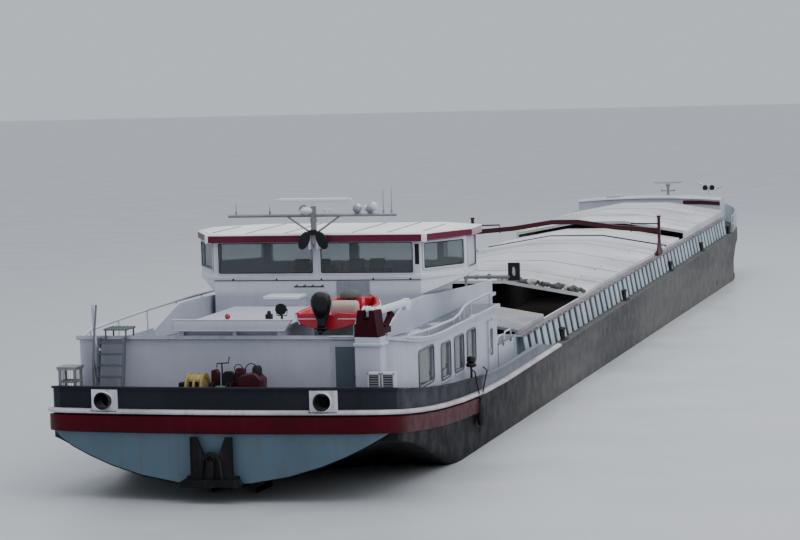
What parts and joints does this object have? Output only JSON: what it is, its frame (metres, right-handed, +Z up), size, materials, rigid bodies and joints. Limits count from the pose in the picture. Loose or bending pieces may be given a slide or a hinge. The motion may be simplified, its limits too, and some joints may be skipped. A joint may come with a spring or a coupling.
{
  "type": "1:10 scale model of an inland motor cargo barge",
  "caption": "Scale model of a long, low inland motor cargo barge with a raised wheelhouse aft, hatch covers over an open hold and a folding radar mast.",
  "frame": {"origin": "middle of the whole length and beam, on the flat bottom of the hull", "axes": "+X forward to the bow, +Y to port, +Z up from the flat bottom"},
  "size_m": [8.535, 0.994, 0.8993],
  "materials": {
    "blue": "faded light blue paint",
    "brass": "bronze",
    "cover": "weathered aluminium",
    "gray": "grey paint",
    "hullBlack": "worn dark paint",
    "red": "dark red paint",
    "rubber": "matt black",
    "steel": "galvanised",
    "white": "off-white paint"
  },
  "bodies": {
    "ship": {"hull_aft": "hullBlack", "hull_mid": "hullBlack", "hull_fore": "hullBlack", "rub_rail": "white", "aft_bulwark": "hullBlack", "fairlead_port": "white", "fairlead_starboard": "white", "stern_anchor": "hullBlack", "propeller_nozzle": "hullBlack", "engine_block": "gray", "hatch_coaming": "blue", "hatch_cover_1": "cover", "hatch_cover_2": "cover", "hatch_cover_3": "cover", "hatch_cover_4": "cover", "hatch_cover_5": "cover", "hatch_cover_6": "cover", "hatch_cover_7": "cover", "hatch_cover_8": "cover", "hatch_cover_9": "cover", "hatch_cover_10": "cover", "deckhouse": "white", "deckhouse_roof": "white", "roof_rail_port": "white", "roof_rail_starboard": "white", "roof_platform": "white", "crane_pedestal": "white", "air_units": "white", "boarding_ladder": "gray", "dinghy": "red", "dinghy_chocks": "steel", "stern_winch": "red", "wheelhouse": "white", "wheelhouse_roof": "white", "helm_console": "gray", "helm_chair": "rubber", "fore_cabin": "white", "bow_bulwark": "blue", "mast_foot": "steel", "windlass": "gray", "signal_post": "steel", "stern_locker": "steel"},
    "propeller": {"propeller": "brass"},
    "rudder_port": {"rudder_port": "hullBlack"},
    "rudder_starboard": {"rudder_starboard": "hullBlack"},
    "gantry": {"cover_gantry": "red"},
    "aft_door": {"aft_door": "gray"},
    "side_door": {"side_door": "gray"},
    "fore_door": {"fore_door": "gray"},
    "crane_base": {"crane_base": "red"},
    "crane_boom": {"crane_boom": "white"},
    "crane_barrel": {"crane_barrel": "red"},
    "crane_rod": {"crane_rod": "steel"},
    "winch_drum": {"winch_drum": "steel"},
    "outboard": {"outboard": "rubber"},
    "radar_mast": {"radar_mast": "steel"},
    "radar_scanner": {"radar_scanner": "white"},
    "fore_mast": {"fore_mast": "steel"},
    "fore_scanner": {"fore_scanner": "white"},
    "signal_arm": {"signal_arm": "steel"}
  },
  "joints": [
    {"name": "propeller_spin", "type": "hinge", "parent": "ship", "child": "propeller", "pos_m": [-3.8275, 0, 0.086], "axis": [1, 0, 0], "continuous": true},
    {"name": "rudder_port_turn", "type": "hinge", "parent": "ship", "child": "rudder_port", "pos_m": [-3.9625, 0.062, 0.1], "axis": [0, 0, 1], "range_deg": [-45, 45]},
    {"name": "rudder_starboard_turn", "type": "hinge", "parent": "ship", "child": "rudder_starboard", "pos_m": [-3.9625, -0.062, 0.1], "axis": [0, 0, 1], "range_deg": [-45, 45]},
    {"name": "gantry_travel", "type": "slide", "parent": "ship", "child": "gantry", "axis": [1, 0, 0], "range_m": [-3.1, 2.38]},
    {"name": "aft_door_swing", "type": "hinge", "parent": "ship", "child": "aft_door", "pos_m": [-4.0158, -0.268, 0.46], "axis": [0, 0, -1], "range_deg": [0, 100]},
    {"name": "side_door_slide", "type": "slide", "parent": "ship", "child": "side_door", "axis": [1, 0, 0], "range_m": [0, 0.07]},
    {"name": "fore_door_swing", "type": "hinge", "parent": "ship", "child": "fore_door", "pos_m": [3.7108, -0.215, 0.39], "axis": [0, 0, -1], "range_deg": [0, 100]},
    {"name": "crane_slew", "type": "hinge", "parent": "ship", "child": "crane_base", "pos_m": [-4.0525, -0.384, 0.582], "axis": [0, 0, 1], "range_deg": [-170, 12]},
    {"name": "crane_luff", "type": "hinge", "parent": "crane_base", "child": "crane_boom", "pos_m": [-4.04759, -0.38494, 0.642], "axis": [-0.1889, -0.982, 0], "range_deg": [0, 25]},
    {"name": "crane_tilt", "type": "hinge", "parent": "crane_base", "child": "crane_barrel", "pos_m": [-3.96903, -0.40005, 0.59], "axis": [-0.1889, -0.982, 0], "range_deg": [0, 27]},
    {"name": "crane_extend", "type": "slide", "parent": "crane_barrel", "child": "crane_rod", "axis": [0.7606, -0.1463, 0.6325], "range_m": [0, 0.042]},
    {"name": "winch_spin", "type": "hinge", "parent": "ship", "child": "winch_drum", "pos_m": [-4.1125, 0.01, 0.44], "axis": [0, 1, 0], "continuous": true},
    {"name": "outboard_steer", "type": "hinge", "parent": "ship", "child": "outboard", "pos_m": [-3.9845, -0.241, 0.62], "axis": [0, 0, 1], "range_deg": [-35, 35]},
    {"name": "radar_mast_fold", "type": "hinge", "parent": "ship", "child": "radar_mast", "pos_m": [-3.2425, -0.005, 0.772], "axis": [0, -1, 0], "range_deg": [0, 90]},
    {"name": "radar_spin", "type": "hinge", "parent": "radar_mast", "child": "radar_scanner", "pos_m": [-3.2425, -0.005, 0.89], "axis": [0, 0, 1], "continuous": true},
    {"name": "fore_mast_fold", "type": "hinge", "parent": "ship", "child": "fore_mast", "pos_m": [3.8075, -0.064, 0.4], "axis": [0, 1, 0], "range_deg": [0, 65]},
    {"name": "fore_radar_spin", "type": "hinge", "parent": "fore_mast", "child": "fore_scanner", "pos_m": [3.8075, -0.064, 0.546], "axis": [0, 0, 1], "continuous": true},
    {"name": "signal_swing", "type": "hinge", "parent": "ship", "child": "signal_arm", "pos_m": [-2.6025, -0.32, 0.599], "axis": [0, 0, 1], "range_deg": [0, 90]}
  ],
  "couplings": [
    {"joint": "rudder_starboard_turn", "follows": "rudder_port_turn", "ratio": 1},
    {"joint": "crane_tilt", "follows": "crane_luff", "ratio": 1.0728},
    {"joint": "crane_extend", "follows": "crane_luff", "m_per_rad": 0.0944}
  ]
}
